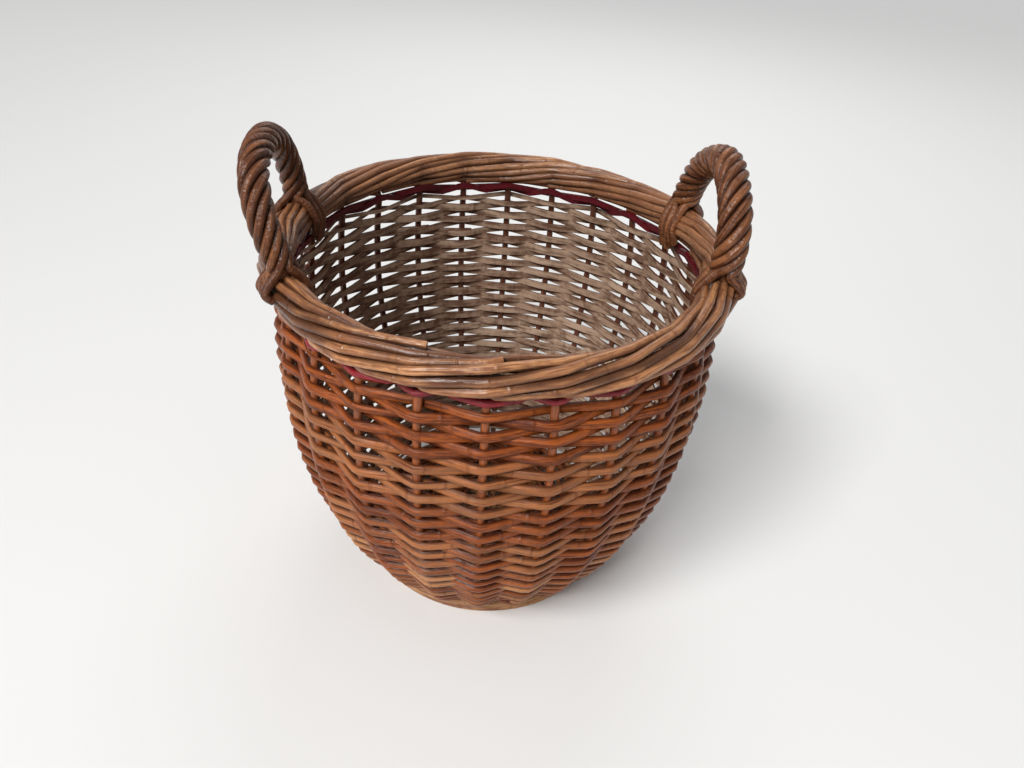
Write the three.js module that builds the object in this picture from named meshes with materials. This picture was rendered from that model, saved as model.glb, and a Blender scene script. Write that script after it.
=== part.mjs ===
// Round willow basket with a rolled border and two twisted handles.
// Millimetres, +Z up. The origin is on the floor under the middle of the base,
// the handles stand near the X axis and the front of the basket faces -Y.

import * as THREE from 'three';

// Overall sizes
const borderDiameter = 360;
const borderTop = 314;
const borderThickness = 26;
const handleRise = 70;

// Clearances between rods that touch on the real basket
const clearance = 0.3;
const weaveClearance = 0.5;
const rollClearance = 0.5;

// Share of a spoke gap left open where one rod ends and the next begins
const buttShare = 0.03;
// Width of a split rod's rounded outer face, as a share of its flat inner face
const roundedShare = 0.7;

// Upright stakes
const stakeCount = 24;
const stakeDiameter = 6;
const stakeSides = 5;
const stakeWallSteps = 12;

// Outline of the wall, seen as a curve from the base to the neck
const footingRadius = 115;
const footingHeight = 17;
const neckInset = 5.2;
const neckLift = 3;
const lowerBulge = 51;
const lowerReach = 68;
const upperBulge = 21;
const upperReach = 90;

// Rolled border, made of the bent-down ends of the stakes
const rollStartAngle = THREE.MathUtils.degToRad(-98);
const rollRunShare = 8;
const rollStepShare = 0.5;

// Side weave
const weaverHeight = 6;
const weaverThickness = 3.2;
const rowGap = 0.8;
const sideStart = 3;
const tipShare = 0.3;
// Where each strand is parted into long rods, as shares of its run
const sidePartShares = [0, 0.12, 0.4, 0.7, 1];

// Red band under the border
const redHeight = 4.8;
const redRowGap = 0.4;
const redRoom = 3.4;

// Base
const stickDiameter = 6;
const stickSides = 6;
const stickSpread = 7;
const crossReach = 16;
const baseWeaveInner = 30;
const baseWeaveOuter = 93;
const baseWeaverWidth = 4.6;
const baseWeaverThickness = 2.8;
const baseRowGap = 0.8;
const stickOverhang = 3;
const edgeRowGap = 0.8;

// Foot border
const footRodThickness = 5;

// Handles: a bow with six strands twisted round it
const handleSpan = 120;
const handleLean = -2;
// Both handles were set a little towards the front of the basket
const handleTurn = THREE.MathUtils.degToRad(2.8);
const ropeDiameter = 24.5;
const ropeRise = 6;
const bowDiameter = 8.6;
const bowSides = 6;
const strandDiameter = 5.6;
const strandSides = 5;
const strandCount = 6;
const twistTurns = 3;
const wrapRoom = 1.5;
const outerTuck = 14;
const innerTuck = 24;

// Willow colours
const willowBrown = 0xa85a2c;
const willowTan = 0xb98450;
const willowPale = 0xc49a66;
const willowDark = 0x7f4a2b;
const willowRed = 0x9a1f2c;

const stakeSpacing = (2 * Math.PI) / stakeCount;
const stakeRadius = stakeDiameter / 2;
const borderRadius = borderDiameter / 2 - borderThickness / 2;
const borderHeight = borderTop - borderThickness / 2;
const neckHeight = borderTop - borderThickness + neckLift;
const neckRadius = borderRadius - neckInset;
const baseHeight = 2 * footRodThickness + 2 * clearance + stakeRadius;

function willow(colour) {
  return new THREE.MeshStandardMaterial({ color: colour, roughness: 0.5, metalness: 0 });
}

// A point given by its distance from the basket's axis, its azimuth and height
function polar(radius, azimuth, height) {
  return new THREE.Vector3(radius * Math.cos(azimuth), radius * Math.sin(azimuth), height);
}

// Closed rod from a list of rings with the same number of points
function skin(rings) {
  const sides = rings[0].length;
  const positions = [];
  for (const ring of rings) {
    for (const point of ring) positions.push(point.x, point.y, point.z);
  }
  const indices = [];
  for (let i = 0; i + 1 < rings.length; i += 1) {
    for (let j = 0; j < sides; j += 1) {
      const here = i * sides + j;
      const next = i * sides + ((j + 1) % sides);
      indices.push(here, next, next + sides);
      indices.push(here, next + sides, here + sides);
    }
  }
  const last = (rings.length - 1) * sides;
  for (let j = 1; j + 1 < sides; j += 1) {
    indices.push(0, j + 1, j);
    indices.push(last, last + j, last + j + 1);
  }
  const geometry = new THREE.BufferGeometry();
  geometry.setAttribute('position', new THREE.Float32BufferAttribute(positions, 3));
  geometry.setIndex(indices);
  return geometry;
}

// Round rod through a list of points, with its rings square to the run
function rod(points, diameter, sides, reference) {
  const rings = [];
  const side = reference.clone();
  for (let i = 0; i < points.length; i += 1) {
    const before = points[Math.max(i - 1, 0)];
    const after = points[Math.min(i + 1, points.length - 1)];
    const into = points[i].clone().sub(before).normalize();
    const out = after.clone().sub(points[i]).normalize();
    const tangent = into.add(out).normalize();
    side.addScaledVector(tangent, -side.dot(tangent)).normalize();
    const across = new THREE.Vector3().crossVectors(tangent, side);
    const ring = [];
    for (let j = 0; j < sides; j += 1) {
      const angle = (2 * Math.PI * j) / sides;
      const point = points[i].clone();
      point.addScaledVector(side, (diameter / 2) * Math.cos(angle));
      point.addScaledVector(across, (diameter / 2) * Math.sin(angle));
      ring.push(point);
    }
    rings.push(ring);
  }
  return skin(rings);
}

// Wall outline: a curve of radius (x) and height (y), read by length along it
const wallCurve = new THREE.CubicBezierCurve(
  new THREE.Vector2(footingRadius, footingHeight),
  new THREE.Vector2(footingRadius + lowerBulge, footingHeight + lowerReach),
  new THREE.Vector2(neckRadius + upperBulge, neckHeight - upperReach),
  new THREE.Vector2(neckRadius, neckHeight),
);
const wallLength = wallCurve.getLength();

function wallPoint(length) {
  return wallCurve.getPointAt(length / wallLength);
}

// Outward direction of the wall, square to its outline
function wallNormal(length) {
  const tangent = wallCurve.getTangentAt(length / wallLength);
  return new THREE.Vector2(tangent.y, -tangent.x);
}

// Stakes: along the base, up the wall, then round the border in a roll
const rollRadius = borderThickness / 2 - stakeRadius;
const rollStep = 2 * Math.asin((stakeDiameter + rollClearance) / (2 * rollRadius));

function stakePoints() {
  const points = [polar(stakeStart, 0, baseHeight), polar(footingRadius - stakeRadius, 0, baseHeight)];
  for (let i = 0; i <= stakeWallSteps; i += 1) {
    const place = wallPoint((wallLength * i) / stakeWallSteps);
    points.push(polar(place.x, 0, place.y));
  }
  for (let run = rollStepShare; run <= rollRunShare; run += rollStepShare) {
    const angle = rollStartAngle + rollStep * run;
    const radius = borderRadius + rollRadius * Math.cos(angle);
    const height = borderHeight + rollRadius * Math.sin(angle);
    points.push(polar(radius, run * stakeSpacing, height));
  }
  return points;
}

// Flat-sided split rod woven in and out of evenly spaced spokes.
// place(turn) gives the middle of the rod, the two directions of its section and,
// where it tapers, the share of its width that is left.
function wovenRod(first, last, place, width, thickness) {
  const turns = [];
  for (let turn = first; turn < last; turn += 1) turns.push(turn);
  turns.push(last);
  const rings = turns.map((turn) => {
    const { middle, outward, along, share = 1 } = place(turn);
    const corner = (a, b) => middle.clone().addScaledVector(outward, a).addScaledVector(along, b * share);
    return [
      corner(-thickness / 2, -width / 2),
      corner(-thickness / 2, width / 2),
      corner(thickness / 2, (roundedShare * width) / 2),
      corner(thickness / 2, (-roundedShare * width) / 2),
    ];
  });
  return skin(rings);
}

// +1 outside a spoke, -1 inside the next one, straight between them
function weaveSide(turn, strand) {
  const whole = Math.floor(turn);
  const share = turn - whole;
  const sign = (whole + strand) % 2 === 0 ? 1 : -1;
  return sign * (1 - 2 * share);
}

const weaveOffset = stakeRadius + weaveClearance + weaverThickness / 2;
const firstStake = stakeSpacing / 2;

function wallPlace(strand, lengthAt, shareAt = () => 1) {
  return (turn) => {
    const length = lengthAt(turn);
    const point = wallPoint(length);
    const normal = wallNormal(length);
    const offset = weaveOffset * weaveSide(turn, strand);
    const azimuth = firstStake + turn * stakeSpacing;
    const middle = polar(point.x + offset * normal.x, azimuth, point.y + offset * normal.y);
    const outward = polar(normal.x, azimuth, normal.y);
    const along = polar(-normal.y, azimuth, normal.x);
    return { middle, outward, along, share: shareAt(turn) };
  };
}

const meshes = new THREE.Group();

function add(name, geometry, colour, turn = 0) {
  const mesh = new THREE.Mesh(geometry, willow(colour));
  mesh.name = name;
  mesh.rotation.z = turn;
  meshes.add(mesh);
  return mesh;
}

// Base sticks, three across three, fanned out to twelve even ends
const stickEnds = stakeCount / 2;
const stickSpacing = (2 * Math.PI) / stickEnds;
const stickRadius = stickDiameter / 2;
const stickReach = baseWeaveOuter + stickOverhang;
const stakeStart = stickReach + clearance;

function baseStick(row, layer) {
  const half = [];
  const height = baseHeight + layer * (stickRadius + clearance / 2);
  const lateral = row * stickSpread;
  half.push(new THREE.Vector3(crossReach, lateral, height));
  half.push(polar(baseWeaveInner - baseWeaverWidth / 2, row * stickSpacing, baseHeight));
  half.push(polar(stickReach, row * stickSpacing, baseHeight));
  const other = half.map((point) => new THREE.Vector3(-point.x, point.y, point.z));
  const points = [...other.reverse(), ...half];
  return rod(points, stickDiameter, stickSides, new THREE.Vector3(0, 0, 1));
}

[-1, 0, 1].forEach((row, index) => {
  add(`base_stick_${index + 1}`, baseStick(row, -1), willowPale);
  add(`base_stick_${index + 4}`, baseStick(row, 1), willowPale, Math.PI / 2);
});

// Base weave: two strands paired round the twelve stick ends
const baseOffset = stickRadius + clearance + baseWeaverThickness / 2;
const baseRowPitch = baseWeaverWidth + baseRowGap;
const baseRows = (baseWeaveOuter - baseWeaveInner - baseWeaverWidth) / baseRowPitch;
const baseTurns = Math.floor(((baseRows - 1) / 2) * stickEnds);

function basePlace(strand) {
  return (turn) => {
    const rows = strand + (2 * turn) / stickEnds;
    const radius = baseWeaveInner + baseWeaverWidth / 2 + baseRowPitch * rows;
    const azimuth = turn * stickSpacing;
    const height = baseHeight + baseOffset * weaveSide(turn, strand);
    const middle = polar(radius, azimuth, height);
    return { middle, outward: new THREE.Vector3(0, 0, 1), along: polar(-1, azimuth, 0) };
  };
}

[0, 1].forEach((strand) => {
  const geometry = wovenRod(0, baseTurns, basePlace(strand), baseWeaverWidth, baseWeaverThickness);
  add(`base_weaver_${strand + 1}`, geometry, willowTan);
});

// Edge weave: one round of two strands that locks the stakes to the base
const edgeInner = stakeStart / Math.cos(stakeSpacing / 2);
const edgeOffset = stakeRadius + weaveClearance + baseWeaverThickness / 2;
const ringEnd = stakeCount - buttShare;

function edgePlace(strand) {
  const radius = edgeInner + baseWeaverWidth / 2 + (baseWeaverWidth + edgeRowGap) * strand;
  return (turn) => {
    const azimuth = firstStake + turn * stakeSpacing;
    const height = baseHeight + edgeOffset * weaveSide(turn, strand);
    const middle = polar(radius, azimuth, height);
    return { middle, outward: new THREE.Vector3(0, 0, 1), along: polar(-1, azimuth, 0) };
  };
}

[0, 1].forEach((strand) => {
  const geometry = wovenRod(0, ringEnd, edgePlace(strand), baseWeaverWidth, baseWeaverThickness);
  add(`edge_weaver_${strand + 1}`, geometry, willowBrown);
});

// Stakes
const stakeGeometry = rod(stakePoints(), stakeDiameter, stakeSides, new THREE.Vector3(0, 0, -1));
for (let k = 0; k < stakeCount; k += 1) {
  const name = `stake_${String(k + 1).padStart(2, '0')}`;
  add(name, stakeGeometry, willowTan, firstStake + k * stakeSpacing);
}

// Red band
const redPitch = redHeight + redRowGap;
const redTop = wallLength - redRoom - redHeight / 2;
[0, 1].forEach((strand) => {
  const length = redTop - strand * redPitch;
  const geometry = wovenRod(0, ringEnd, wallPlace(strand, () => length), redHeight, weaverThickness);
  add(`red_weaver_${strand + 1}`, geometry, willowRed);
});

// Side weave: two strands spiral up the wall. Their first and last rounds taper, so
// that both edges of the weave are level.
const rowPitch = weaverHeight + rowGap;
const sideEnd = redTop - redPitch - redHeight / 2 - rowGap / 2;
const sideRounds = 1 + (sideEnd - sideStart) / (2 * rowPitch);
const sideFirst = Math.ceil(tipShare * stakeCount);
const sideLast = Math.floor((sideRounds - tipShare) * stakeCount);

function sideShare(turn) {
  const round = turn / stakeCount;
  return Math.min(1, round, sideRounds - round);
}

[0, 1].forEach((strand) => {
  const lengthAt = (turn) => {
    const risen = Math.max(turn / stakeCount - 1, 0);
    return sideStart + rowPitch * (2 * risen + (strand + 1 / 2) * sideShare(turn));
  };
  const place = wallPlace(strand, lengthAt, sideShare);
  const partings = sidePartShares.map((share) => sideFirst + Math.round((sideLast - sideFirst) * share));
  for (let part = 1; part < partings.length; part += 1) {
    const last = partings[part] === sideLast ? sideLast : partings[part] - buttShare;
    const geometry = wovenRod(partings[part - 1], last, place, weaverHeight, weaverThickness);
    add(`side_weaver_${strand === 0 ? 'a' : 'b'}${part}`, geometry, willowBrown);
  }
});

// Foot border: a lower rod worn flat underneath and an upper rod on it
const footRadius = footingRadius - footRodThickness / 2;

function footRod(bottom) {
  const place = (turn) => {
    const azimuth = firstStake + turn * stakeSpacing;
    const middle = polar(footRadius, azimuth, bottom + footRodThickness / 2);
    return { middle, outward: new THREE.Vector3(0, 0, 1), along: polar(-1, azimuth, 0) };
  };
  return wovenRod(0, ringEnd, place, footRodThickness, footRodThickness);
}

add('foot_rod_lower', footRod(0), willowPale);
add('foot_rod_upper', footRod(footRodThickness + clearance), willowPale);

// Handles: the centre line rises from the border, leans out and comes back down
const ropeRadius = ropeDiameter / 2;
const strandRadius = strandDiameter / 2;
const strandRing = ropeRadius - strandRadius;
const footSpread = handleSpan / 2;
const footReach = Math.sqrt(borderRadius ** 2 - footSpread ** 2);
const footAzimuth = Math.atan2(footSpread, footReach);
const ropeFoot = borderTop + ropeRise;
const archRise = handleRise - ropeRise - ropeRadius;
const handleRadius = borderRadius + handleLean;

class Arch extends THREE.Curve {
  getPoint(share) {
    const angle = Math.PI * share;
    return new THREE.Vector3(
      footReach + (handleRadius - footReach) * Math.sin(angle),
      footSpread * Math.cos(angle),
      ropeFoot + archRise * Math.sin(angle),
    );
  }
}
const arch = new Arch();
const strandSteps = twistTurns * strandCount;

// Point near a foot of the handle: distance from the axis, sideways shift, height
function footPoint(end, radius, shift, height) {
  const x = radius * Math.cos(footAzimuth) - shift * Math.sin(footAzimuth);
  const y = radius * Math.sin(footAzimuth) + shift * Math.cos(footAzimuth);
  return new THREE.Vector3(x, end * y, height);
}

// The end of a strand: over the border and down its outer or inner face
function strandTail(end, angle) {
  const shift = strandRing * Math.sin(angle);
  const outer = Math.cos(angle) > 0;
  const reach = borderThickness / 2 + strandRadius + wrapRoom;
  const way = outer ? 1 : -1;
  const diagonal = reach * Math.SQRT1_2;
  const tail = [
    footPoint(end, borderRadius + way * diagonal, shift, borderHeight + diagonal),
    footPoint(end, borderRadius + way * reach, shift, borderHeight),
  ];
  if (outer) {
    tail.push(footPoint(end, borderRadius + diagonal, shift, borderHeight - outerTuck));
    return tail;
  }
  const room = weaveOffset + weaverThickness / 2 + clearance + strandRadius;
  const tuckLength = wallLength - innerTuck;
  const tuck = wallPoint(tuckLength);
  tail.push(footPoint(end, neckRadius - room - clearance, shift, neckHeight));
  tail.push(footPoint(end, tuck.x - room - clearance, shift, tuck.y));
  return tail;
}

function strandPoints(index) {
  const points = [];
  for (let step = 0; step <= strandSteps; step += 1) {
    const share = step / strandSteps;
    const tangent = arch.getTangentAt(share);
    const outward = new THREE.Vector3(1, 0, 0).addScaledVector(tangent, -tangent.x).normalize();
    const across = new THREE.Vector3().crossVectors(tangent, outward);
    const angle = footAzimuth + ((index + step) * 2 * Math.PI) / strandCount;
    const point = arch.getPointAt(share);
    point.addScaledVector(outward, strandRing * Math.cos(angle));
    point.addScaledVector(across, strandRing * Math.sin(angle));
    points.push(point);
  }
  const firstAngle = (index * 2 * Math.PI) / strandCount;
  const lastAngle = ((index + strandSteps) * 2 * Math.PI) / strandCount;
  return [...strandTail(1, firstAngle).reverse(), ...points, ...strandTail(-1, lastAngle)];
}

function bowPoints() {
  const points = [];
  for (let step = 0; step <= strandSteps; step += 1) points.push(arch.getPointAt(step / strandSteps));
  const seat = borderTop + clearance;
  return [footPoint(1, borderRadius, 0, seat), ...points, footPoint(-1, borderRadius, 0, seat)];
}

const bowGeometry = rod(bowPoints(), bowDiameter, bowSides, new THREE.Vector3(1, 0, 0));
[['right', -handleTurn], ['left', Math.PI + handleTurn]].forEach(([hand, turn]) => {
  add(`handle_${hand}_bow`, bowGeometry, willowDark, turn);
  for (let index = 0; index < strandCount; index += 1) {
    const geometry = rod(strandPoints(index), strandDiameter, strandSides, new THREE.Vector3(1, 0, 0));
    add(`handle_${hand}_strand_${index + 1}`, geometry, willowDark, turn);
  }
});

export default meshes;
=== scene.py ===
import math
import random

import bpy
from mathutils import Matrix, Vector
from mathutils.kdtree import KDTree


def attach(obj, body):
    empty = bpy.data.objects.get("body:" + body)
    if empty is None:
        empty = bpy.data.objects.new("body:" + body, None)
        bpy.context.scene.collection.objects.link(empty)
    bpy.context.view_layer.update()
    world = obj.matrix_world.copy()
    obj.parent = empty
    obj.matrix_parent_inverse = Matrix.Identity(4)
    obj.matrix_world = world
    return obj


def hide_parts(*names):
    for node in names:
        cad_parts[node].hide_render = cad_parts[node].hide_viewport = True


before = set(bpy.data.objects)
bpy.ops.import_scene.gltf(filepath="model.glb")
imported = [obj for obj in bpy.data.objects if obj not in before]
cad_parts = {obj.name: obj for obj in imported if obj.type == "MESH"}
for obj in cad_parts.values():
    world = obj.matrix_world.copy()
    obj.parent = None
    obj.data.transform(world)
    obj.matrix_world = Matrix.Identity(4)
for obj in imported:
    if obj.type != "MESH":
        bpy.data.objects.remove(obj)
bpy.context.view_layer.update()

bl_info = {
    "name": "Willow basket",
    "version": (1, 0, 0),
    "blender": (4, 5, 0),
    "location": "3D View > Sidebar > Basket",
    "description": "Round willow basket with a rolled border, a red band and two twisted handles",
    "category": "Add Mesh",
}

# Where the photo was taken from, and its focal length for an image of this width
CAMERA_PLACE = (-0.0562, -0.5178, 0.5625)
CAMERA_HEADING = math.radians(-8)
CAMERA_PITCH = math.radians(37.02)
CAMERA_ROLL = math.radians(4.2553)
CAMERA_FOCAL_PIXELS = 742.31
IMAGE_WIDTH_PIXELS = 1024
SENSOR_MM = 36

# Sides of a round rod, and of one that is woven into the base
ROUND_SIDES = 12
BASE_SIDES = 10
# A split rod is half round: points on its bark, and how full the bark's curve is
BARK_POINTS = 9
BARK_FULLNESS = 0.65
# Where its outline, read round it from 0 to 1, turns from the bark to the flat face
FLAT_SHARE = (BARK_POINTS - 1) / BARK_POINTS

# Closeness at which points of a rod are merged, and the angle up to which it is shaded smooth
MERGE_DISTANCE = 0.000002
SMOOTH_ANGLE = math.radians(48)

# Diameter of a foot rod in the frame, and the gap kept between rods there
FOOT_ROD = 0.005
ROD_GAP = 0.0003

# How a woven rod bends at a spoke, as a share of the way to the next one
BEND_SHARE = 0.13
# How uneven rods are in the base and in the wall
BASE_NUDGE = 0.0003
WALL_NUDGE = 0.0007
# How far a rod that runs all round stops short of its own start, in spokes
RING_GAP = 0.03

# Painted shade and dirt in the gaps between the rods of the border and the handles: depth at which
# it starts to darken, and how much deeper it is darkest
CREVICE_DIRT_AND_SHADE_START = 0.0005
CREVICE_DIRT_AND_SHADE_DEPTH = 0.0016


def size_property(name, description, default):
    return bpy.props.FloatProperty(name=name, description=description, default=default, unit="LENGTH")


def colour_property(name, description, default):
    return bpy.props.FloatVectorProperty(
        name=name, description=description, default=default, subtype="COLOR"
    )


class BasketSizes(bpy.types.PropertyGroup):
    """Sizes of the basket and its rods"""

    stake_count: bpy.props.IntProperty(
        name="Stakes", description="Uprights of the wall", default=24, min=8
    )
    stake_diameter: size_property("Stake diameter", "Thickness of an upright", 0.006)
    border_diameter: size_property("Border diameter", "Width over the border", 0.36)
    border_thickness: size_property("Border thickness", "Thickness of the border", 0.026)
    border_top: size_property("Border height", "Height of the border's top", 0.314)
    weaver_height: size_property("Weaver height", "Width of a split rod", 0.0073)
    weaver_thickness: size_property("Weaver thickness", "Thickness of a split rod", 0.0035)
    row_pitch: size_property("Row pitch", "Distance between the wall's rows", 0.0068)
    red_height: size_property("Red rod height", "Width of a red rod", 0.0054)
    rope_diameter: size_property("Handle thickness", "Thickness of a handle", 0.0242)
    strand_diameter: size_property("Handle rod", "Thickness of a handle's rod", 0.0076)
    handle_span: size_property("Handle span", "Distance between a handle's feet", 0.12)
    handle_rise: size_property("Handle rise", "Height of a handle over the border", 0.07)


class BasketColours(bpy.types.PropertyGroup):
    """Colours of the willow"""

    bark: colour_property("Weave", "Bark side of the weaving rods", (0.35, 0.083, 0.014))
    bark_dark: colour_property("Weave, dark", "Dark streaks of the weave", (0.09, 0.02, 0.007))
    flat: colour_property("Weave, inside", "Flat side of the weaving rods", (0.51, 0.355, 0.25))
    flat_dark: colour_property("Inside, dark", "Dark streaks of the flat side", (0.17, 0.095, 0.06))
    border: colour_property("Border", "Rods of the border", (0.6, 0.285, 0.12))
    border_dark: colour_property("Border, dark", "Dark streaks of the border", (0.16, 0.055, 0.024))
    # Colour of the painted shade on the border's inner side
    border_inside_shade: colour_property("Border, inside", "Aged inner side of the border", (0.185, 0.088, 0.047))
    stake_dark: colour_property("Stakes", "Stakes inside the wall", (0.1, 0.038, 0.026))
    red: colour_property("Red band", "Dyed rods", (0.42, 0.016, 0.024))
    red_inside: colour_property("Red band, inside", "Flat side of the dyed rods", (0.16, 0.01, 0.018))
    red_dark: colour_property("Red band, dark", "Worn dye", (0.08, 0.006, 0.01))
    handle: colour_property("Handles", "Rods of the handles", (0.3, 0.112, 0.042))
    handle_dark: colour_property("Handles, dark", "Dark streaks of the handles", (0.065, 0.019, 0.008))
    peeled: colour_property("Foot and base", "Pale rods of the base", (0.52, 0.27, 0.105))
    floor: colour_property("Floor", "The stage's floor", (0.78, 0.77, 0.75))


# Lines in space


def polar(radius, azimuth, height):
    return Vector((radius * math.cos(azimuth), radius * math.sin(azimuth), height))


def walked(places):
    """Length of the way from the first place to each"""
    lengths = [0]
    for before, after in zip(places, places[1:]):
        lengths.append(lengths[-1] + (after - before).length)
    return lengths


def place_at(places, lengths, length):
    """Place and direction at a length along a line, which goes on straight past its ends"""
    i = 0
    while i + 2 < len(lengths) and lengths[i + 1] < length:
        i += 1
    before, after = places[i], places[i + 1]
    share = (length - lengths[i]) / (lengths[i + 1] - lengths[i])
    return before.lerp(after, share), (after - before).normalized()


def smooth_path(points, steps):
    """Points on one smooth curve through the given ones"""
    path = []
    for i in range(len(points) - 1):
        before = points[max(i - 1, 0)]
        after = points[min(i + 2, len(points) - 1)]
        start, end = points[i], points[i + 1]
        into = (end - before) * 0.5
        out = (after - start) * 0.5
        for step in range(steps):
            t = step / steps
            path.append(
                start * (2 * t**3 - 3 * t**2 + 1)
                + into * (t**3 - 2 * t**2 + t)
                + end * (3 * t**2 - 2 * t**3)
                + out * (t**3 - t**2)
            )
    path.append(points[-1].copy())
    return path


class Wall:
    """Outline of the wall, read by length along it from the base to the neck"""

    # Radius and height where the wall starts, and how far its curve swings out from there and
    # from the neck
    FOOTING = (0.115, 0.017)
    LOWER_BULGE = 0.051
    LOWER_REACH = 0.068
    UPPER_BULGE = 0.021
    UPPER_REACH = 0.09
    # Place of the neck, seen from the middle of the border's underside
    NECK_INSET = 0.0052
    NECK_LIFT = 0.003
    SAMPLES = 300

    def __init__(self, sizes):
        neck_radius = border_middle(sizes)[0] - self.NECK_INSET
        neck_height = sizes.border_top - sizes.border_thickness + self.NECK_LIFT
        foot = Vector(self.FOOTING)
        lower = foot + Vector((self.LOWER_BULGE, self.LOWER_REACH))
        neck = Vector((neck_radius, neck_height))
        upper = neck + Vector((self.UPPER_BULGE, -self.UPPER_REACH))
        self.places = []
        for i in range(self.SAMPLES + 1):
            t = i / self.SAMPLES
            place = foot * (1 - t) ** 3 + lower * 3 * t * (1 - t) ** 2
            place += upper * 3 * t * t * (1 - t) + neck * t**3
            self.places.append(place)
        self.lengths = walked(self.places)
        self.length = self.lengths[-1]

    def at(self, length):
        """Radius and height as a vector, and the wall's direction there"""
        return place_at(self.places, self.lengths, length)


def border_middle(sizes):
    """Radius and height of the ring that runs through the middle of the border"""
    radius = (sizes.border_diameter - sizes.border_thickness) / 2
    return radius, sizes.border_top - sizes.border_thickness / 2


def base_height(sizes):
    """Height of the middle of the base, which lies on the two foot rods"""
    return 2 * FOOT_ROD + 2 * ROD_GAP + sizes.stake_diameter / 2


# Rods are curves swept with a section and then made meshes


def section(outline):
    bpy.ops.object.select_all(action="DESELECT")
    bpy.ops.curve.primitive_nurbs_circle_add()
    shape = bpy.context.object
    shape.data.splines.clear()
    spline = shape.data.splines.new("POLY")
    spline.points.add(len(outline) - 1)
    for point, (x, y) in zip(spline.points, outline):
        point.co = (x, y, 0, 1)
    spline.use_cyclic_u = True
    shape.data.dimensions = "2D"
    return shape


def round_section(diameter, sides=ROUND_SIDES):
    angles = [2 * math.pi * i / sides for i in range(sides)]
    return section([(diameter / 2 * math.cos(a), diameter / 2 * math.sin(a)) for a in angles])


def split_section(thickness, height):
    """Half-round outline: bark outwards, flat face inwards"""
    outline = []
    for i in range(BARK_POINTS):
        angle = math.pi * i / (BARK_POINTS - 1)
        bulge = math.sin(angle) ** BARK_FULLNESS
        outline.append((thickness * (bulge - 0.5), -height / 2 * math.cos(angle)))
    return section(outline)


def sweep(points, shape, seed, radii=None, tilts=None, upright=False):
    """One rod as a mesh, with its length in metres and a number of its own on its surface"""
    bpy.ops.object.select_all(action="DESELECT")
    bpy.ops.curve.primitive_nurbs_path_add()
    rod = bpy.context.object
    curve = rod.data
    curve.splines.clear()
    spline = curve.splines.new("POLY")
    spline.points.add(len(points) - 1)
    for i, point in enumerate(points):
        spline.points[i].co = (*point, 1)
        spline.points[i].radius = radii[i] if radii else 1
        spline.points[i].tilt = tilts[i] if tilts else 0
    curve.twist_mode = "Z_UP" if upright else "MINIMUM"
    curve.bevel_mode = "OBJECT"
    curve.bevel_object = shape
    curve.use_fill_caps = True
    bpy.ops.object.convert(target="MESH")
    length = walked(points)[-1]
    mesh = rod.data
    places = mesh.uv_layers[0].uv
    values = [0.0] * (2 * len(places))
    places.foreach_get("vector", values)
    values[0::2] = [value * length for value in values[0::2]]
    places.foreach_set("vector", values)
    own = mesh.attributes.new("seed", "FLOAT", "POINT")
    own.data.foreach_set("value", [seed] * len(mesh.vertices))
    return rod


def paint_crevice_dirt_and_shade(rod, distance_at, surface):
    """Marks how deep each place of a rod lies between its neighbours, from 0 to 1, for the painted shade
    and dirt there
    """
    marks = rod.data.attributes.new("deep", "FLOAT", "POINT")
    start = surface - CREVICE_DIRT_AND_SHADE_START
    depths = [(start - distance_at(vertex.co)) / CREVICE_DIRT_AND_SHADE_DEPTH for vertex in rod.data.vertices]
    marks.data.foreach_set("value", [max(0, min(1, depth)) for depth in depths])


def join_rods(name, rods, material, slot, *nodes):
    """Several rods as one finished piece that stands for CAD nodes"""
    bpy.ops.object.select_all(action="DESELECT")
    for rod in rods:
        rod.select_set(True)
    bpy.context.view_layer.objects.active = rods[0]
    if len(rods) > 1:
        bpy.ops.object.join()
    piece = rods[0]
    piece.name = name
    piece.data.name = name
    bpy.ops.object.mode_set(mode="EDIT")
    bpy.ops.mesh.select_all(action="SELECT")
    bpy.ops.mesh.remove_doubles(threshold=MERGE_DISTANCE)
    bpy.ops.mesh.normals_make_consistent(inside=False)
    bpy.ops.object.mode_set(mode="OBJECT")
    bpy.ops.object.shade_smooth_by_angle(angle=SMOOTH_ANGLE)
    piece.data.materials.clear()
    piece.data.materials.append(material)
    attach(piece, "root")
    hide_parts(*nodes)
    return piece


def drop(shape):
    bpy.data.objects.remove(shape)


class Field:
    """A shader socket that can be used in sums"""

    def __init__(self, paint, socket):
        self.paint = paint
        self.socket = socket

    def math(self, operation, *others):
        return self.paint.node("ShaderNodeMath", {"operation": operation}, [self, *others])

    def __add__(self, other):
        return self.math("ADD", other)

    def __sub__(self, other):
        return self.math("SUBTRACT", other)

    def __mul__(self, other):
        return self.math("MULTIPLY", other)

    def __rsub__(self, other):
        return self.paint.node("ShaderNodeMath", {"operation": "SUBTRACT"}, [other, self])

    __radd__ = __add__
    __rmul__ = __mul__


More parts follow.
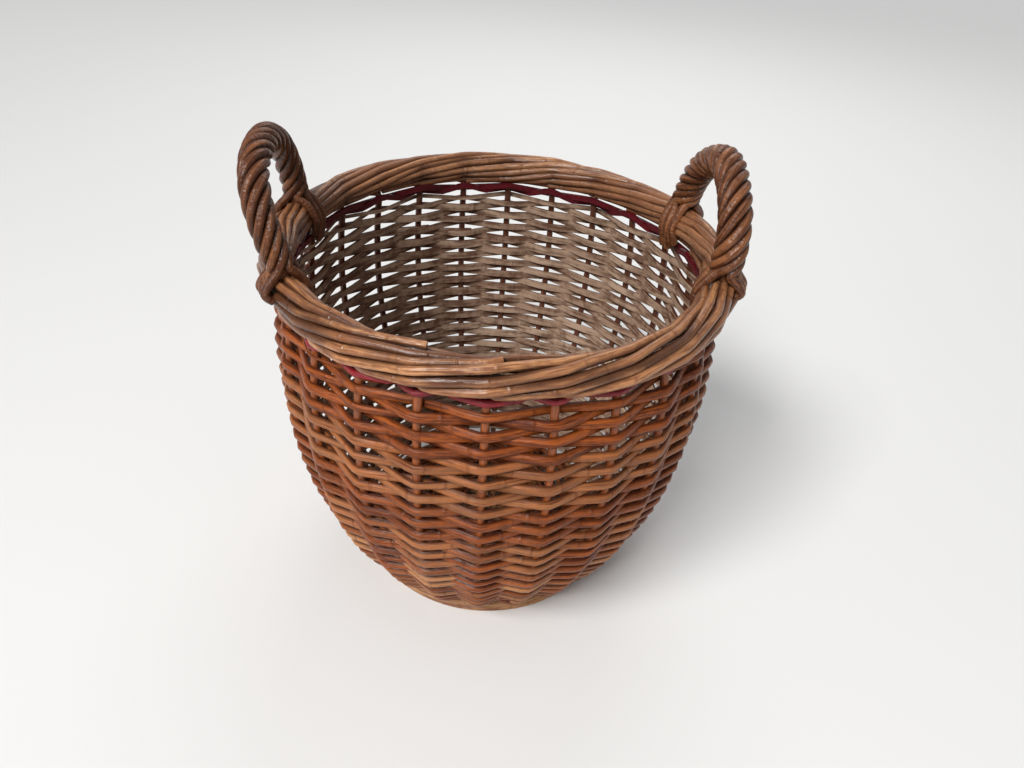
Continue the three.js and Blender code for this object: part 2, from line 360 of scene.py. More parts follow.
class Paint:
    """A material whose nodes are added by plain expressions"""

    # Places of a Mix node's colour sockets, whose names it uses more than once
    MIX_FACTOR = 0
    MIX_FIRST = 6
    MIX_SECOND = 7
    MIX_RESULT = 2

    def __init__(self, name):
        self.material = bpy.data.materials.new(name)
        self.material.use_nodes = True
        self.tree = self.material.node_tree
        self.shader = self.tree.nodes["Principled BSDF"]

    def node(self, kind, settings, inputs, output=0):
        node = self.tree.nodes.new(kind)
        for key, value in settings.items():
            setattr(node, key, value)
        pairs = inputs.items() if isinstance(inputs, dict) else enumerate(inputs)
        for key, value in pairs:
            self.feed(node.inputs[key], value)
        return Field(self, node.outputs[output])

    def feed(self, socket, value):
        if isinstance(value, Field):
            self.tree.links.new(value.socket, socket)
        else:
            socket.default_value = value

    def set(self, **values):
        for key, value in values.items():
            self.feed(self.shader.inputs[key.replace("_", " ")], value)

    def noise(self, place, detail=2.0):
        return self.node("ShaderNodeTexNoise", {}, {"Vector": place, "Scale": 1.0, "Detail": detail})

    def chance(self, number):
        """A number from 0 to 1 that looks drawn at random for each given one"""
        return self.node("ShaderNodeTexWhiteNoise", {"noise_dimensions": "1D"}, {"W": number})

    def spread(self, value, low, high):
        """0 below low, 1 above high and smooth between them"""
        settings = {"interpolation_type": "SMOOTHSTEP"}
        inputs = {"Value": value, "From Min": low, "From Max": high}
        return self.node("ShaderNodeMapRange", settings, inputs)

    def mix(self, share, *colours):
        first, second = (one if isinstance(one, Field) else (*one, 1) for one in colours)
        inputs = {self.MIX_FACTOR: share, self.MIX_FIRST: first, self.MIX_SECOND: second}
        return self.node("ShaderNodeMix", {"data_type": "RGBA"}, inputs, self.MIX_RESULT)

    def attribute(self, name):
        return self.node("ShaderNodeAttribute", {"attribute_name": name}, [], "Fac")

    def coordinate(self, name):
        return self.node("ShaderNodeTexCoord", {}, [], name)

    def parts(self, vector):
        """The x, y and z of a vector"""
        node = self.node("ShaderNodeSeparateXYZ", {}, [vector]).socket.node
        return [Field(self, socket) for socket in node.outputs]


class Rod:
    """Places on a rod that its material can read"""

    # A kind of streaks is shifted by its number one way, and by this share of it the other way
    SIDESTEP = 0.37
    # Small scars across the rod where twigs grew: how many, how a rod's own number shifts them,
    # and half their width as a share of the way from one to the next
    SCARS_PER_METRE = 17
    SCAR_SHIFT = 7.3
    SCAR_HALF_WIDTH = 0.035

    def __init__(self, paint):
        self.paint = paint
        self.along, self.round, _ = paint.parts(paint.node("ShaderNodeUVMap", {"uv_map": "UVMap"}, []))
        self.seed = paint.attribute("seed")
        angle = self.round * (2 * math.pi)
        self.across = angle.math("COSINE")
        self.over = angle.math("SINE")

    def streaks(self, fine, long, number):
        """Noise drawn out along the rod: long per metre, fine round it"""
        x = self.across * fine + self.seed * number
        y = self.over * fine + self.seed * (number * self.SIDESTEP)
        return self.paint.noise(self.paint.node("ShaderNodeCombineXYZ", {}, [x, y, self.along * long]))

    def scars(self):
        place = (self.along * self.SCARS_PER_METRE + self.seed * self.SCAR_SHIFT).math("FRACT")
        return 1 - self.paint.spread((place - 0.5).math("ABSOLUTE"), 0.0, self.SCAR_HALF_WIDTH)


# Streaks of the bark: how fine they are round the rod, how many there are in a metre, and a
# number that sets each kind apart
FIBRE = (3.0, 42, 37)
BLOTCH = (0.5, 16, 91)
STAIN = (0.9, 34, 53)
MOTTLE = (1.3, 170, 23)
WRINKLE = (0.8, 620, 11)
# Shares of fibre, blotch and mottle in the tone, and where it turns from dark to light
TONE_SHARES = (0.4, 0.35, 0.25)
TONE_RANGE = (0.38, 0.59)
STAIN_RANGE = (0.56, 0.74)
STAIN_SHARE = 0.8
SCAR_SHARE = 0.35
# Random numbers from which a rod turns to the odd colour, and at which it would be all odd
ODD_RANGE = (0.35, 1.3)
# Numbers that give each rod its share of the odd colour and of its own shade
ODD_NUMBER = 13.7
SHADE_NUMBER = 71.9
# The deepest colour, for painted shade at edges and for shade and dirt in gaps, as a share of the dark one,
# and how much of it the gaps get
DEEPEST_SHARE = 0.4
CREVICE_DIRT_AND_SHADE_SHARE = 0.9
# Painted shade on the edges of a split rod's bark, darker where it rounds off
EDGE_SHADE_RANGE = (0.05, 0.75)
EDGE_SHADE_SHARE = 0.85
# Roughness, and what the tone, stains and a split rod's flat face do to it
ROUGHNESS = 0.44
TONE_GLOSS = 0.1
STAIN_ROUGHER = 0.15
FLAT_ROUGHER = 0.25
# Relief: its depth and strength, and the shares of mottle, scars and stains
RELIEF_DEPTH = 0.0008
RELIEF_STRENGTH = 0.7
MOTTLE_RELIEF = 0.4
SCAR_RELIEF = 0.6
STAIN_RELIEF = 0.4


def willow(
    name, light, dark, odd, flat=None, wall=None, gloss=0.0, shine=0.4, wrinkled=0.2, shaded=0.4
):
    """Bark of one colour with long darker streaks, stains and scars, and every rod a little different"""
    paint = Paint(name)
    rod = Rod(paint)
    fibre, mottle = rod.streaks(*FIBRE), rod.streaks(*MOTTLE)
    fibre_share, blotch_share, mottle_share = TONE_SHARES
    grain = fibre * fibre_share + rod.streaks(*BLOTCH) * blotch_share + mottle * mottle_share
    tone = paint.spread(grain, *TONE_RANGE)
    oddness = paint.spread(paint.chance(rod.seed * ODD_NUMBER), *ODD_RANGE)
    bark = paint.mix(oddness, paint.mix(tone, dark, light), odd)
    if wall:
        bark = stake_and_border(paint, bark, tone, *wall)
    stained = paint.spread(rod.streaks(*STAIN), *STAIN_RANGE) * STAIN_SHARE
    scar = rod.scars()
    bark = paint.mix(stained.math("MAXIMUM", scar * SCAR_SHARE), bark, dark)
    rough = ROUGHNESS - gloss - tone * TONE_GLOSS + stained * STAIN_ROUGHER
    deepest = tuple(value * DEEPEST_SHARE for value in dark)
    if flat:
        face = rod.round.math("GREATER_THAN", FLAT_SHARE)
        # Painted shade on the bark's edges, where a split rod rounds off
        turning = (rod.round * (math.pi / FLAT_SHARE)).math("SINE")
        edge = 1 - paint.spread(turning, *EDGE_SHADE_RANGE)
        bark = paint.mix(edge * EDGE_SHADE_SHARE, bark, deepest)
        flat_light, flat_dark = flat
        bark = paint.mix(face, bark, paint.mix(tone, flat_dark, flat_light))
        rough = rough + face * FLAT_ROUGHER
    bark = paint.mix(paint.chance(rod.seed * SHADE_NUMBER) * shaded, bark, dark)
    # Painted shade, partly dirt, in the gaps between rods
    bark = paint.mix(paint.attribute("deep") * CREVICE_DIRT_AND_SHADE_SHARE, bark, deepest)
    relief = fibre + mottle * MOTTLE_RELIEF + rod.streaks(*WRINKLE) * wrinkled
    relief = relief + scar * SCAR_RELIEF - stained * STAIN_RELIEF
    bump = {"Height": relief, "Strength": RELIEF_STRENGTH, "Distance": RELIEF_DEPTH}
    paint.set(
        Base_Color=bark,
        Roughness=rough,
        Normal=paint.node("ShaderNodeBump", {}, bump),
        Specular_IOR_Level=shine,
    )
    return paint.material


# Heights, seen from the border's underside, between which the stakes' colours turn into the border's
STAKE_END = -0.005
BORDER_START = 0.001
# How far a face is turned outwards where the stakes change colour, and how much the rod's tone
# shows there
STAKE_FACING = (-0.05, 0.05)
STAKE_TONE = 0.6
# The same for the border, and how much painted shade its inner side gets, less where the rod is light
BORDER_FACING = (-0.15, 0.03)
INSIDE_SHADE_SHARE = 0.75
INSIDE_SHADE_TONE = 0.2


def stake_and_border(paint, bark, tone, outside, inside, inside_shade_colour, underside):
    """Stakes darker inside the wall, and the border's bark above them, with painted shade on its inner side
    in the basket
    """
    place = paint.coordinate("Object")
    level = paint.node("ShaderNodeVectorMath", {"operation": "MULTIPLY"}, [place, (1, 1, 0)])
    inputs = [paint.coordinate("Normal"), level]
    facing = paint.node("ShaderNodeVectorMath", {"operation": "DOT_PRODUCT"}, inputs, "Value")
    outward = paint.spread(facing, *STAKE_FACING) * (tone * STAKE_TONE + (1 - STAKE_TONE))
    stake = paint.mix(outward, inside, outside)
    # Painted shade on the border's inner side, facing into the basket
    inside_shade = (1 - paint.spread(facing, *BORDER_FACING)) * (INSIDE_SHADE_SHARE - tone * INSIDE_SHADE_TONE)
    height = paint.parts(place)[2]
    above = paint.spread(height, underside + STAKE_END, underside + BORDER_START)
    return paint.mix(above, stake, paint.mix(inside_shade, bark, inside_shade_colour))


def materials(context):
    """The willow finishes, made once"""
    if "split_willow" in bpy.data.materials:
        return bpy.data.materials
    sizes = context.scene.basket_sizes
    c = context.scene.basket_colours
    underside = sizes.border_top - sizes.border_thickness
    wall = (c.bark, c.stake_dark, c.border_inside_shade, underside)
    flat = (c.flat, c.flat_dark)
    red_flat = (c.red_inside, c.red_dark)
    willow("split_willow", c.bark, c.bark_dark, c.border, flat=flat, gloss=0.08, shine=0.2)
    willow("border_willow", c.border, c.border_dark, c.handle, wall=wall, gloss=0.14, shaded=0.55)
    willow("red_willow", c.red, c.red_dark, c.red, flat=red_flat, gloss=0.12)
    willow("handle_willow", c.handle, c.handle_dark, c.handle_dark, gloss=0.1, shine=0.32, wrinkled=2.0)
    willow("peeled_willow", c.peeled, c.border_dark, c.border)
    return bpy.data.materials


# How rods are woven


def over_under(turn, strand):
    """1 outside a spoke and -1 inside the next, straight between, with a small bend at each"""
    whole = math.floor(turn)
    share = turn - whole
    sign = 1 if (whole + strand) % 2 == 0 else -1
    near = min(share, 1 - share)
    if share > 0.5:
        sign = -sign
    value = 1 - BEND_SHARE - near * near / BEND_SHARE if near < BEND_SHARE else 1 - 2 * near
    return sign * value / (1 - BEND_SHARE)


def chord(turn, spacing):
    """How much nearer the axis a straight rod runs between two spokes"""
    return math.cos(spacing / 2) / math.cos((turn % 1 - 0.5) * spacing)


class Woven:
    """A rod woven through spokes, laid from first to last spoke"""

    # Points from one spoke to the next
    STEPS = 8

    def __init__(self, first, last, strand, seed):
        self.turns = []
        count = max(2, math.ceil((last - first) * self.STEPS))
        for i in range(count + 1):
            self.turns.append(first + (last - first) * i / count)
        self.strand = strand
        self.dice = random.Random(seed)
        self.nudges = {}

    def nudge(self, turn, most):
        """A small unevenness that changes slowly from spoke to spoke"""
        whole = math.floor(turn)
        for spoke in (whole, whole + 1):
            if spoke not in self.nudges:
                self.nudges[spoke] = self.dice.uniform(-1, 1)
        share = turn - whole
        share = share * share * (3 - 2 * share)
        return most * (self.nudges[whole] * (1 - share) + self.nudges[whole + 1] * share)


def flat_woven(woven, spacing, first_spoke, radius_at, height, offset):
    """Path of a rod woven up and down through level spokes"""
    path = []
    for turn in woven.turns:
        azimuth = first_spoke + turn * spacing
        radius = radius_at(turn) * chord(turn, spacing) + woven.nudge(turn, BASE_NUDGE)
        path.append(polar(radius, azimuth, height + offset * over_under(turn, woven.strand)))
    return path


def wall_woven(woven, wall, sizes, length_at, thickness, inset_at=None):
    """Path and tilt of a rod woven through the stakes"""
    spacing = 2 * math.pi / sizes.stake_count
    offset = sizes.stake_diameter / 2 + thickness / 2
    path, tilts = [], []
    for turn in woven.turns:
        length = length_at(turn) + woven.nudge(turn, WALL_NUDGE)
        place, way = wall.at(length)
        out = offset * over_under(turn, woven.strand)
        if inset_at:
            out -= inset_at(turn)
        radius = (place.x + out * way.y) * chord(turn, spacing)
        path.append(polar(radius, spacing / 2 + turn * spacing, place.y - out * way.x))
        tilts.append(math.atan2(way.x, way.y))
    return path, tilts


# The pieces. DICE starts the random numbers of one kind of rod, and each rod has a number of its
# own, from its seed, that sets its streaks and shade apart from the others'


class BASKET_OT_base_sticks(bpy.types.Operator):
    """Six thick sticks, three laid across three and fanned out"""

    bl_idname = "basket.base_sticks"
    bl_label = "Base sticks"

    STICKS = 6
    DIAMETER = 0.006
    SPACING = 0.007
    FAN_ANGLE = math.pi / 6
    # How far a layer lies from the middle where the sticks cross, and the share left where they fan out
    LAYER_LIFT = 0.0031
    FAN_LIFT_SHARE = 0.3
    # Distances from the axis: end of the crossing, fanned out, level again, end of the stick
    CROSS_REACH = 0.016
    FAN_REACH = 0.028
    LEVEL_REACH = 0.05
    END_REACH = 0.096
    SMOOTH_STEPS = 6
    SEED_STEP = 0.11

    def execute(self, context):
        material = materials(context)["peeled_willow"]
        shape = round_section(self.DIAMETER)
        height = base_height(context.scene.basket_sizes)
        for index in range(self.STICKS):
            row = index % 3 - 1
            layer = -1 if index < 3 else 1
            path = self.path(row, layer * self.LAYER_LIFT, height)
            if layer == 1:
                path = [Vector((-point.y, point.x, point.z)) for point in path]
            rod = sweep(path, shape, self.SEED_STEP * index)
            name = f"base_stick_rod_{index + 1}"
            join_rods(name, [rod], material, "peeled_rods", f"base_stick_{index + 1}")
        drop(shape)
        return {"FINISHED"}

    def path(self, row, lift, height):
        azimuth = row * self.FAN_ANGLE
        half = [
            Vector((self.CROSS_REACH, row * self.SPACING, height + lift)),
            polar(self.FAN_REACH, azimuth, height + lift * self.FAN_LIFT_SHARE),
            polar(self.LEVEL_REACH, azimuth, height),
            polar(self.END_REACH, azimuth, height),
        ]
        other = [Vector((-point.x, point.y, point.z)) for point in reversed(half)]
        return smooth_path([*other, *half], self.SMOOTH_STEPS)


class BASKET_OT_base_weave(bpy.types.Operator):
    """Two rods paired round the ends of the base sticks"""

    bl_idname = "basket.base_weave"
    bl_label = "Base weave"

    DIAMETER = 0.0048
    # Radii between which the rows lie, the width of one row, and its distance to the next
    INNER_RADIUS = 0.0235
    OUTER_RADIUS = 0.0978
    ROW_WIDTH = 0.0046
    PITCH = 0.0054
    # How far the rods pass over and under the middle of the sticks
    OFFSET = 0.0047
    # Spokes that each rod passes at its outermost place, and what its tip loses there
    LAST_SPOKES = (4, 9)
    TIP_LOSS = 0.5
    DICE = 400
    SEEDS = (0.31, 0.51)

    def execute(self, context):
        sizes = context.scene.basket_sizes
        material = materials(context)["split_willow"]
        shape = round_section(self.DIAMETER, BASE_SIDES)
        spokes = sizes.stake_count // 2
        rows = (self.OUTER_RADIUS - self.INNER_RADIUS - self.ROW_WIDTH) / self.PITCH
        turns = math.floor((rows - 1) / 2 * spokes)
        height = base_height(sizes)
        for strand, seed in enumerate(self.SEEDS):
            first_radius = self.INNER_RADIUS + self.ROW_WIDTH / 2 + self.PITCH * strand

            def radius_at(turn):
                return first_radius + self.PITCH * 2 * min(turn, turns) / spokes

            woven = Woven(0, turns + self.LAST_SPOKES[strand], strand, self.DICE + strand)
            path = flat_woven(woven, 2 * math.pi / spokes, 0, radius_at, height, self.OFFSET)
            radii = []
            for turn in woven.turns:
                radii.append(1 - self.TIP_LOSS * max(0, turn - turns) / self.LAST_SPOKES[strand])
            rod = sweep(path, shape, seed, radii, upright=True)
            name = f"base_rod_{strand + 1}"
            join_rods(name, [rod], material, "side_weave", f"base_weaver_{strand + 1}")
        drop(shape)
        return {"FINISHED"}


class BASKET_OT_edge_weave(bpy.types.Operator):
    """Two rods that lock the stakes to the base"""

    bl_idname = "basket.edge_weave"
    bl_label = "Edge weave"

    DIAMETER = 0.0052
    RADII = (0.0994, 0.1048)
    OFFSET = 0.0046
    DICE = 410
    SEEDS = (0.77, 0.87)

    def execute(self, context):
        sizes = context.scene.basket_sizes
        material = materials(context)["split_willow"]
        shape = round_section(self.DIAMETER, BASE_SIDES)
        spacing = 2 * math.pi / sizes.stake_count
        height = base_height(sizes)
        for strand, radius in enumerate(self.RADII):

            def radius_at(turn):
                return radius

            woven = Woven(0, sizes.stake_count - RING_GAP, strand, self.DICE + strand)
            path = flat_woven(woven, spacing, spacing / 2, radius_at, height, self.OFFSET)
            rod = sweep(path, shape, self.SEEDS[strand], upright=True)
            name = f"edge_rod_{strand + 1}"
            join_rods(name, [rod], material, "side_weave", f"edge_weaver_{strand + 1}")
        drop(shape)
        return {"FINISHED"}


class BASKET_OT_foot_border(bpy.types.Operator):
    """Two pale rods round the bottom edge"""

    bl_idname = "basket.foot_border"
    bl_label = "Foot border"

    DIAMETER = 0.0056
    RADIUS = 0.1125
    HEIGHT = 0.0029
    RISE = 0.0058
    # How far the upper ring swings in and out at the stakes
    WAVE = 0.0006
    # Each ring is laid from so many shorter rods
    PARTS = 4
    DICE = 420
    SEED = 0.19
    PART_SEED = 0.13
    LEVEL_SEED = 0.4

    def execute(self, context):
        sizes = context.scene.basket_sizes
        material = materials(context)["peeled_willow"]
        shape = round_section(self.DIAMETER)
        spacing = 2 * math.pi / sizes.stake_count
        for level, name in enumerate(("lower", "upper")):
            rods = []
            for part in range(self.PARTS):
                first = part * sizes.stake_count / self.PARTS
                last = (part + 1) * sizes.stake_count / self.PARTS - RING_GAP / 2
                woven = Woven(first, last, part, self.DICE + self.PARTS * level + part)
                path = []
                for turn in woven.turns:
                    wave = self.WAVE * level * math.cos(math.pi * turn)
                    radius = self.RADIUS + wave + woven.nudge(turn, BASE_NUDGE)
                    height = self.HEIGHT + level * self.RISE
                    path.append(polar(radius, spacing / 2 + turn * spacing, height))
                seed = self.SEED + self.PART_SEED * part + self.LEVEL_SEED * level
                rods.append(sweep(path, shape, seed, upright=True))
            join_rods(f"foot_ring_{name}", rods, material, "peeled_rods", f"foot_rod_{name}")
        drop(shape)
        return {"FINISHED"}


class BASKET_OT_stakes(bpy.types.Operator):
    """Uprights that run up the wall and bend over to make the rolled border"""

    bl_idname = "basket.stakes"
    bl_label = "Stakes and border"

    # Where a stake lies level in the base's edge before it turns up the wall
    LEVEL_RADII = (0.0965, 0.104, 0.1105)
    WALL_STEPS = 40
    WOBBLE = 0.0006
    # Turn round the border's middle: where a rod starts, how far it turns from stake to stake, and
    # the quick first turn as it is bent down
    RUN_STEPS = 72
    RUN_START = math.radians(-96)
    RUN_TURN = math.radians(37.5)
    RUN_SNAP = math.radians(28)
    SNAP_RUN = 0.35
    # Inside the basket the rods turn more slowly, and no further than to the last angle
    RUN_SLOW_AFTER = 4
    RUN_SLOWER = math.radians(5)
    RUN_END = math.radians(240)
    # How many stakes a rod passes before its end, and the stakes whose cut ends show on top
    RUN_LENGTHS = (9.9, 10.2)
    CUT_SHORT = {11: 5.1, 13: 4.2}
    # Unevenness of a run, in and out and round the border
    RUN_WAVE = 0.0017
    RUN_DRIFT = math.radians(9)
    # The first part of a run hangs out over the wall
    RUN_BELLY = 0.0036
    BELLY_RUN = 1.6
    # The ends stand out a little
    END_LIFT = 0.0014
    END_RUN = 0.6
    # Thickness of a rod in the border to that of the stake, and what it loses towards its end
    BORDER_THICK = 1.13
    THICK_RANGE = (0.92, 1.08)
    RUN_TAPER = 0.16
    DICE = 700

    def execute(self, context):
        sizes = context.scene.basket_sizes
        material = materials(context)["border_willow"]
        shape = round_section(sizes.stake_diameter)
        for k in range(sizes.stake_count):
            dice = random.Random(self.DICE + k)
            path, radii = self.path(sizes, k, dice)
            rod = sweep(path, shape, dice.random(), radii)
            paint_crevice_dirt_and_shade(rod, self.from_border(sizes), sizes.border_thickness / 2)
            join_rods(f"willow_stake_{k + 1:02d}", [rod], material, "border_rods", f"stake_{k + 1:02d}")
        drop(shape)
        return {"FINISHED"}

    def path(self, sizes, k, dice):
        wall = Wall(sizes)
        azimuth = (k + 0.5) * 2 * math.pi / sizes.stake_count
        points = [polar(radius, azimuth, base_height(sizes)) for radius in self.LEVEL_RADII]
        wobble = dice.uniform(-self.WOBBLE, self.WOBBLE)
        for i in range(1, self.WALL_STEPS):
            share = i / self.WALL_STEPS
            place = wall.at(wall.length * share)[0]
            turn = wobble * math.sin(2 * math.pi * share) / place.x
            points.append(polar(place.x, azimuth + turn, place.y))
        run_points, run_radii = self.border_run(sizes, k, dice)
        return [*points, *run_points], [*([1.0] * len(points)), *run_radii]

    def from_border(self, sizes):
        """Gives the distance of a place from the border's middle, for places in the border"""
        centre, middle = border_middle(sizes)
        lowest = middle - sizes.border_thickness / 2

        def distance_at(place):
            if place.z < lowest:
                return sizes.border_thickness
            return math.hypot(math.hypot(place.x, place.y) - centre, place.z - middle)

        return distance_at

    def border_run(self, sizes, k, dice):
        """The bent-down end: round the border's outside, over its top and down its inside"""
        spacing = 2 * math.pi / sizes.stake_count
        azimuth = (k + 0.5) * spacing
        ring = (sizes.border_thickness - sizes.stake_diameter * self.BORDER_THICK) / 2
        centre, middle = border_middle(sizes)
        length = self.CUT_SHORT.get(k, dice.uniform(*self.RUN_LENGTHS))
        most = self.BORDER_THICK * dice.uniform(*self.THICK_RANGE)
        waves = [dice.uniform(-1, 1) for _ in range(math.ceil(length) + 2)]
        points, radii = [], []
        for i in range(self.RUN_STEPS + 1):
            run = length * i / self.RUN_STEPS
            whole = math.floor(run)
            wave = waves[whole] + (waves[whole + 1] - waves[whole]) * (run - whole)
            wave = wave * min(1, run)
            snap = 1 - max(0, 1 - run / self.SNAP_RUN) ** 2
            angle = self.RUN_START + self.RUN_SNAP * snap + self.RUN_TURN * run
            angle = min(angle - self.RUN_SLOWER * max(0, run - self.RUN_SLOW_AFTER), self.RUN_END)
            angle += self.RUN_DRIFT * wave
            lifted = self.END_LIFT * max(0, run - length + self.END_RUN) / self.END_RUN
            belly = self.RUN_BELLY * max(0, 1 - run / self.BELLY_RUN)
            reach = ring + belly + self.RUN_WAVE * wave + lifted
            radius = centre * chord(run, spacing) + reach * math.cos(angle)
            points.append(polar(radius, azimuth + run * spacing, middle + reach * math.sin(angle)))
            radii.append(most * (1 - self.RUN_TAPER * run / length))
        return points, radii


class SideWeave:
    """Two strands that spiral up the wall, with a tapering first and last round"""

    # Where the weave starts and how far below the neck it ends, along the wall
    START = -0.001
    END_BELOW_NECK = 0.0156
    # What is left of a row's width where a strand starts and ends
    TIP_SHARE = 0.3
    # Where a strand is parted into the pieces that stand for CAD nodes
    PART_SHARES = (0, 0.12, 0.4, 0.7, 1)

    def __init__(self, wall, sizes):
        self.pitch = sizes.row_pitch
        self.count = sizes.stake_count
        end = wall.length - self.END_BELOW_NECK
        self.rounds = 1 + (end - self.START) / (2 * self.pitch)
        self.first = math.ceil(self.TIP_SHARE * self.count)
        self.last = math.floor((self.rounds - self.TIP_SHARE) * self.count)

    def share(self, turn):
        """How much of a rod's width is left there"""
        done = turn / self.count
        return max(self.TIP_SHARE, min(1, done, self.rounds - done))

    def length(self, turn, strand):
        """Place along the wall of a strand's middle"""
        risen = max(turn / self.count - 1, 0)
        return self.START + self.pitch * (2 * risen + (strand + 0.5) * self.share(turn))


class BASKET_OT_side_weave(bpy.types.Operator):
    """Two strands of split rod that spiral up the wall, each rod ending behind a stake"""

    bl_idname = "basket.side_weave"
    bl_label = "Side weave"

    # Stakes that a rod passes, how much that varies, and the longest last rod in such lengths
    ROD_STAKES = 31
    LENGTH_RANGE = (0.8, 1.15)
    LONGEST_LAST = 1.6
    # How far a rod reaches past the stakes at its ends
    BUTT_OVERLAP = 0.2
    TIP_OVERLAP = 0.35
    # Thickness of a rod at its tip and its butt, and of its cut ends
    TIP_RANGE = (0.74, 0.92)
    BUTT_RANGE = (0.98, 1.15)
    BUTT_END = 0.8
    TIP_END = 0.7
    # How far a tip slips inside the next butt, as a share of its thickness, and how long before
    # its last stake it starts to
    INSET_SHARE = 0.8
    INSET_RUN = 0.5
    DICE_STEP = 100

    def execute(self, context):
        sizes = context.scene.basket_sizes
        material = materials(context)["split_willow"]
        wall = Wall(sizes)
        weave = SideWeave(wall, sizes)
        shape = split_section(sizes.weaver_thickness, sizes.weaver_height)
        for strand, letter in enumerate("ab"):
            for part, shares in enumerate(zip(weave.PART_SHARES, weave.PART_SHARES[1:])):
                dice = random.Random(self.DICE_STEP * strand + part)
                first, last = (weave.first + round((weave.last - weave.first) * share) for share in shares)
                breaks = self.breaks(first, last, strand, dice)
                rods = []
                for start, end in zip(breaks, breaks[1:]):
                    rods.append(self.rod(start, end, strand, sizes, wall, weave, shape, dice))
                node = f"side_weaver_{letter}{part + 1}"
                join_rods(f"side_rods_{letter}{part + 1}", rods, material, "side_weave", node)
        drop(shape)
        return {"FINISHED"}

    def breaks(self, first, last, strand, dice):
        """Stakes behind which one rod ends and the next begins"""
        breaks = [first]
        while last - breaks[-1] > self.LONGEST_LAST * self.ROD_STAKES:
            stake = round(breaks[-1] + self.ROD_STAKES * dice.uniform(*self.LENGTH_RANGE))
            if (stake + strand) % 2 == 0:
                stake += 1
            breaks.append(stake)
        return [*breaks, last]

    def rod(self, start, end, strand, sizes, wall, weave, shape, dice):
        """One rod: a thick butt, a thin tip laid inside the next rod's butt"""
        woven = Woven(start - self.BUTT_OVERLAP, end + self.TIP_OVERLAP, strand, dice.random())
        thin = dice.uniform(*self.TIP_RANGE)
        thick = dice.uniform(*self.BUTT_RANGE)

        def inset_at(turn):
            slipped = max(0, min(1, (turn - end + self.INSET_RUN) / self.INSET_RUN))
            return sizes.weaver_thickness * self.INSET_SHARE * slipped

        def length_at(turn):
            return weave.length(turn, strand)

        path, tilts = wall_woven(woven, wall, sizes, length_at, sizes.weaver_thickness, inset_at)
        radii = []
        for i, turn in enumerate(woven.turns):
            share = i / (len(path) - 1)
            radii.append((thick + (thin - thick) * share**2) * weave.share(turn))
        radii[0] *= self.BUTT_END
        radii[-1] *= self.TIP_END
        return sweep(path, shape, dice.random(), radii, tilts, upright=True)


class BASKET_OT_red_band(bpy.types.Operator):
    """Two dyed rods right under the border"""

    bl_idname = "basket.red_band"
    bl_label = "Red band"

    THICKNESS = 0.0036
    # How far below the neck, along the wall, both rods are outside the stakes, and how much higher
    # each is inside them
    LEVEL = 0.0116
    LIFTS = (0.0096, 0.0085)
    DICE = 440
    SEEDS = (0.4, 0.7)

    def execute(self, context):
        sizes = context.scene.basket_sizes
        material = materials(context)["red_willow"]
        wall = Wall(sizes)
        shape = split_section(self.THICKNESS, sizes.red_height)
        for strand, seed in enumerate(self.SEEDS):

            def length_at(turn):
                return wall.length - self.LEVEL + self.lift(over_under(turn, strand), strand)

            woven = Woven(0, sizes.stake_count - RING_GAP, strand, self.DICE + strand)
            path, tilts = wall_woven(woven, wall, sizes, length_at, self.THICKNESS)
            rod = sweep(path, shape, seed, None, tilts, upright=True)
            join_rods(f"red_rod_{strand + 1}", [rod], material, "red_band", f"red_weaver_{strand + 1}")
        drop(shape)
        return {"FINISHED"}

    def lift(self, outside, strand):
        """The first rod rises all the way from outside to inside, the second only inside the stakes"""
        if strand == 0:
            return self.LIFTS[0] * (1 - outside) / 2
        return self.LIFTS[1] * max(0, -outside)


class HandleShape:
    """Centre line of a handle, and the places of its feet on the border"""

    # How far above the border the centre line starts
    FOOT_RISE = 0.006
    SAMPLES = 200
    # Both handles were set a little towards the front of the basket
    TURNED = math.radians(2.8)
    # How each handle was bent by hand: how far its top went out, up and along the border, how far
    # its legs were twisted apart, a pinch that draws them together over 1 and spreads them under 1,
    # and its thickness to the right one's
    BENT = {
        "right": {"out": -0.007, "up": 0.003, "along": -0.0045, "twist": 0, "pinch": 1.2, "thick": 1},
        "left": {"out": 0.001, "up": 0.008, "along": 0, "twist": 0.0065, "pinch": 0.82, "thick": 0.85},
    }

    def __init__(self, sizes, hand):
        self.bent = self.BENT[hand]
        self.thick = self.bent["thick"]
        self.border_radius, self.border_height = border_middle(sizes)
        self.half_span = sizes.handle_span / 2
        self.reach = math.sqrt(self.border_radius**2 - self.half_span**2)
        self.azimuth = math.atan2(self.half_span, self.reach)
        self.foot = sizes.border_top + self.FOOT_RISE
        self.rise = sizes.handle_rise + self.bent["up"] - self.FOOT_RISE - sizes.rope_diameter / 2
        self.out = self.border_radius + self.bent["out"] - self.reach
        self.places = [self.bow(i / self.SAMPLES) for i in range(self.SAMPLES + 1)]
        self.lengths = walked(self.places)

    def bow(self, share):
        level, up = math.cos(math.pi * share), math.sin(math.pi * share)
        sideways = math.copysign(abs(level) ** self.bent["pinch"], level)
        x = self.reach + (self.out + self.bent["twist"] * level) * up
        y = self.half_span * sideways + self.bent["along"] * up
        return Vector((x, y, self.foot + self.rise * up))

    def at(self, share):
        """Point and direction at a share of the length"""
        return place_at(self.places, self.lengths, share * self.lengths[-1])

    def foot_point(self, end, radius, shift, height):
        """A point near a foot: end 1 or -1, distance from the axis, sideways shift, height"""
        x = radius * math.cos(self.azimuth) - shift * math.sin(self.azimuth)
        y = radius * math.sin(self.azimuth) + shift * math.cos(self.azimuth)
        return Vector((x, end * y, height))


def turned(points, hand):
    """From a place on the X axis to where the right or left handle stands"""
    angle = -HandleShape.TURNED if hand == "right" else math.pi + HandleShape.TURNED
    return [Matrix.Rotation(angle, 3, "Z") @ point for point in points]


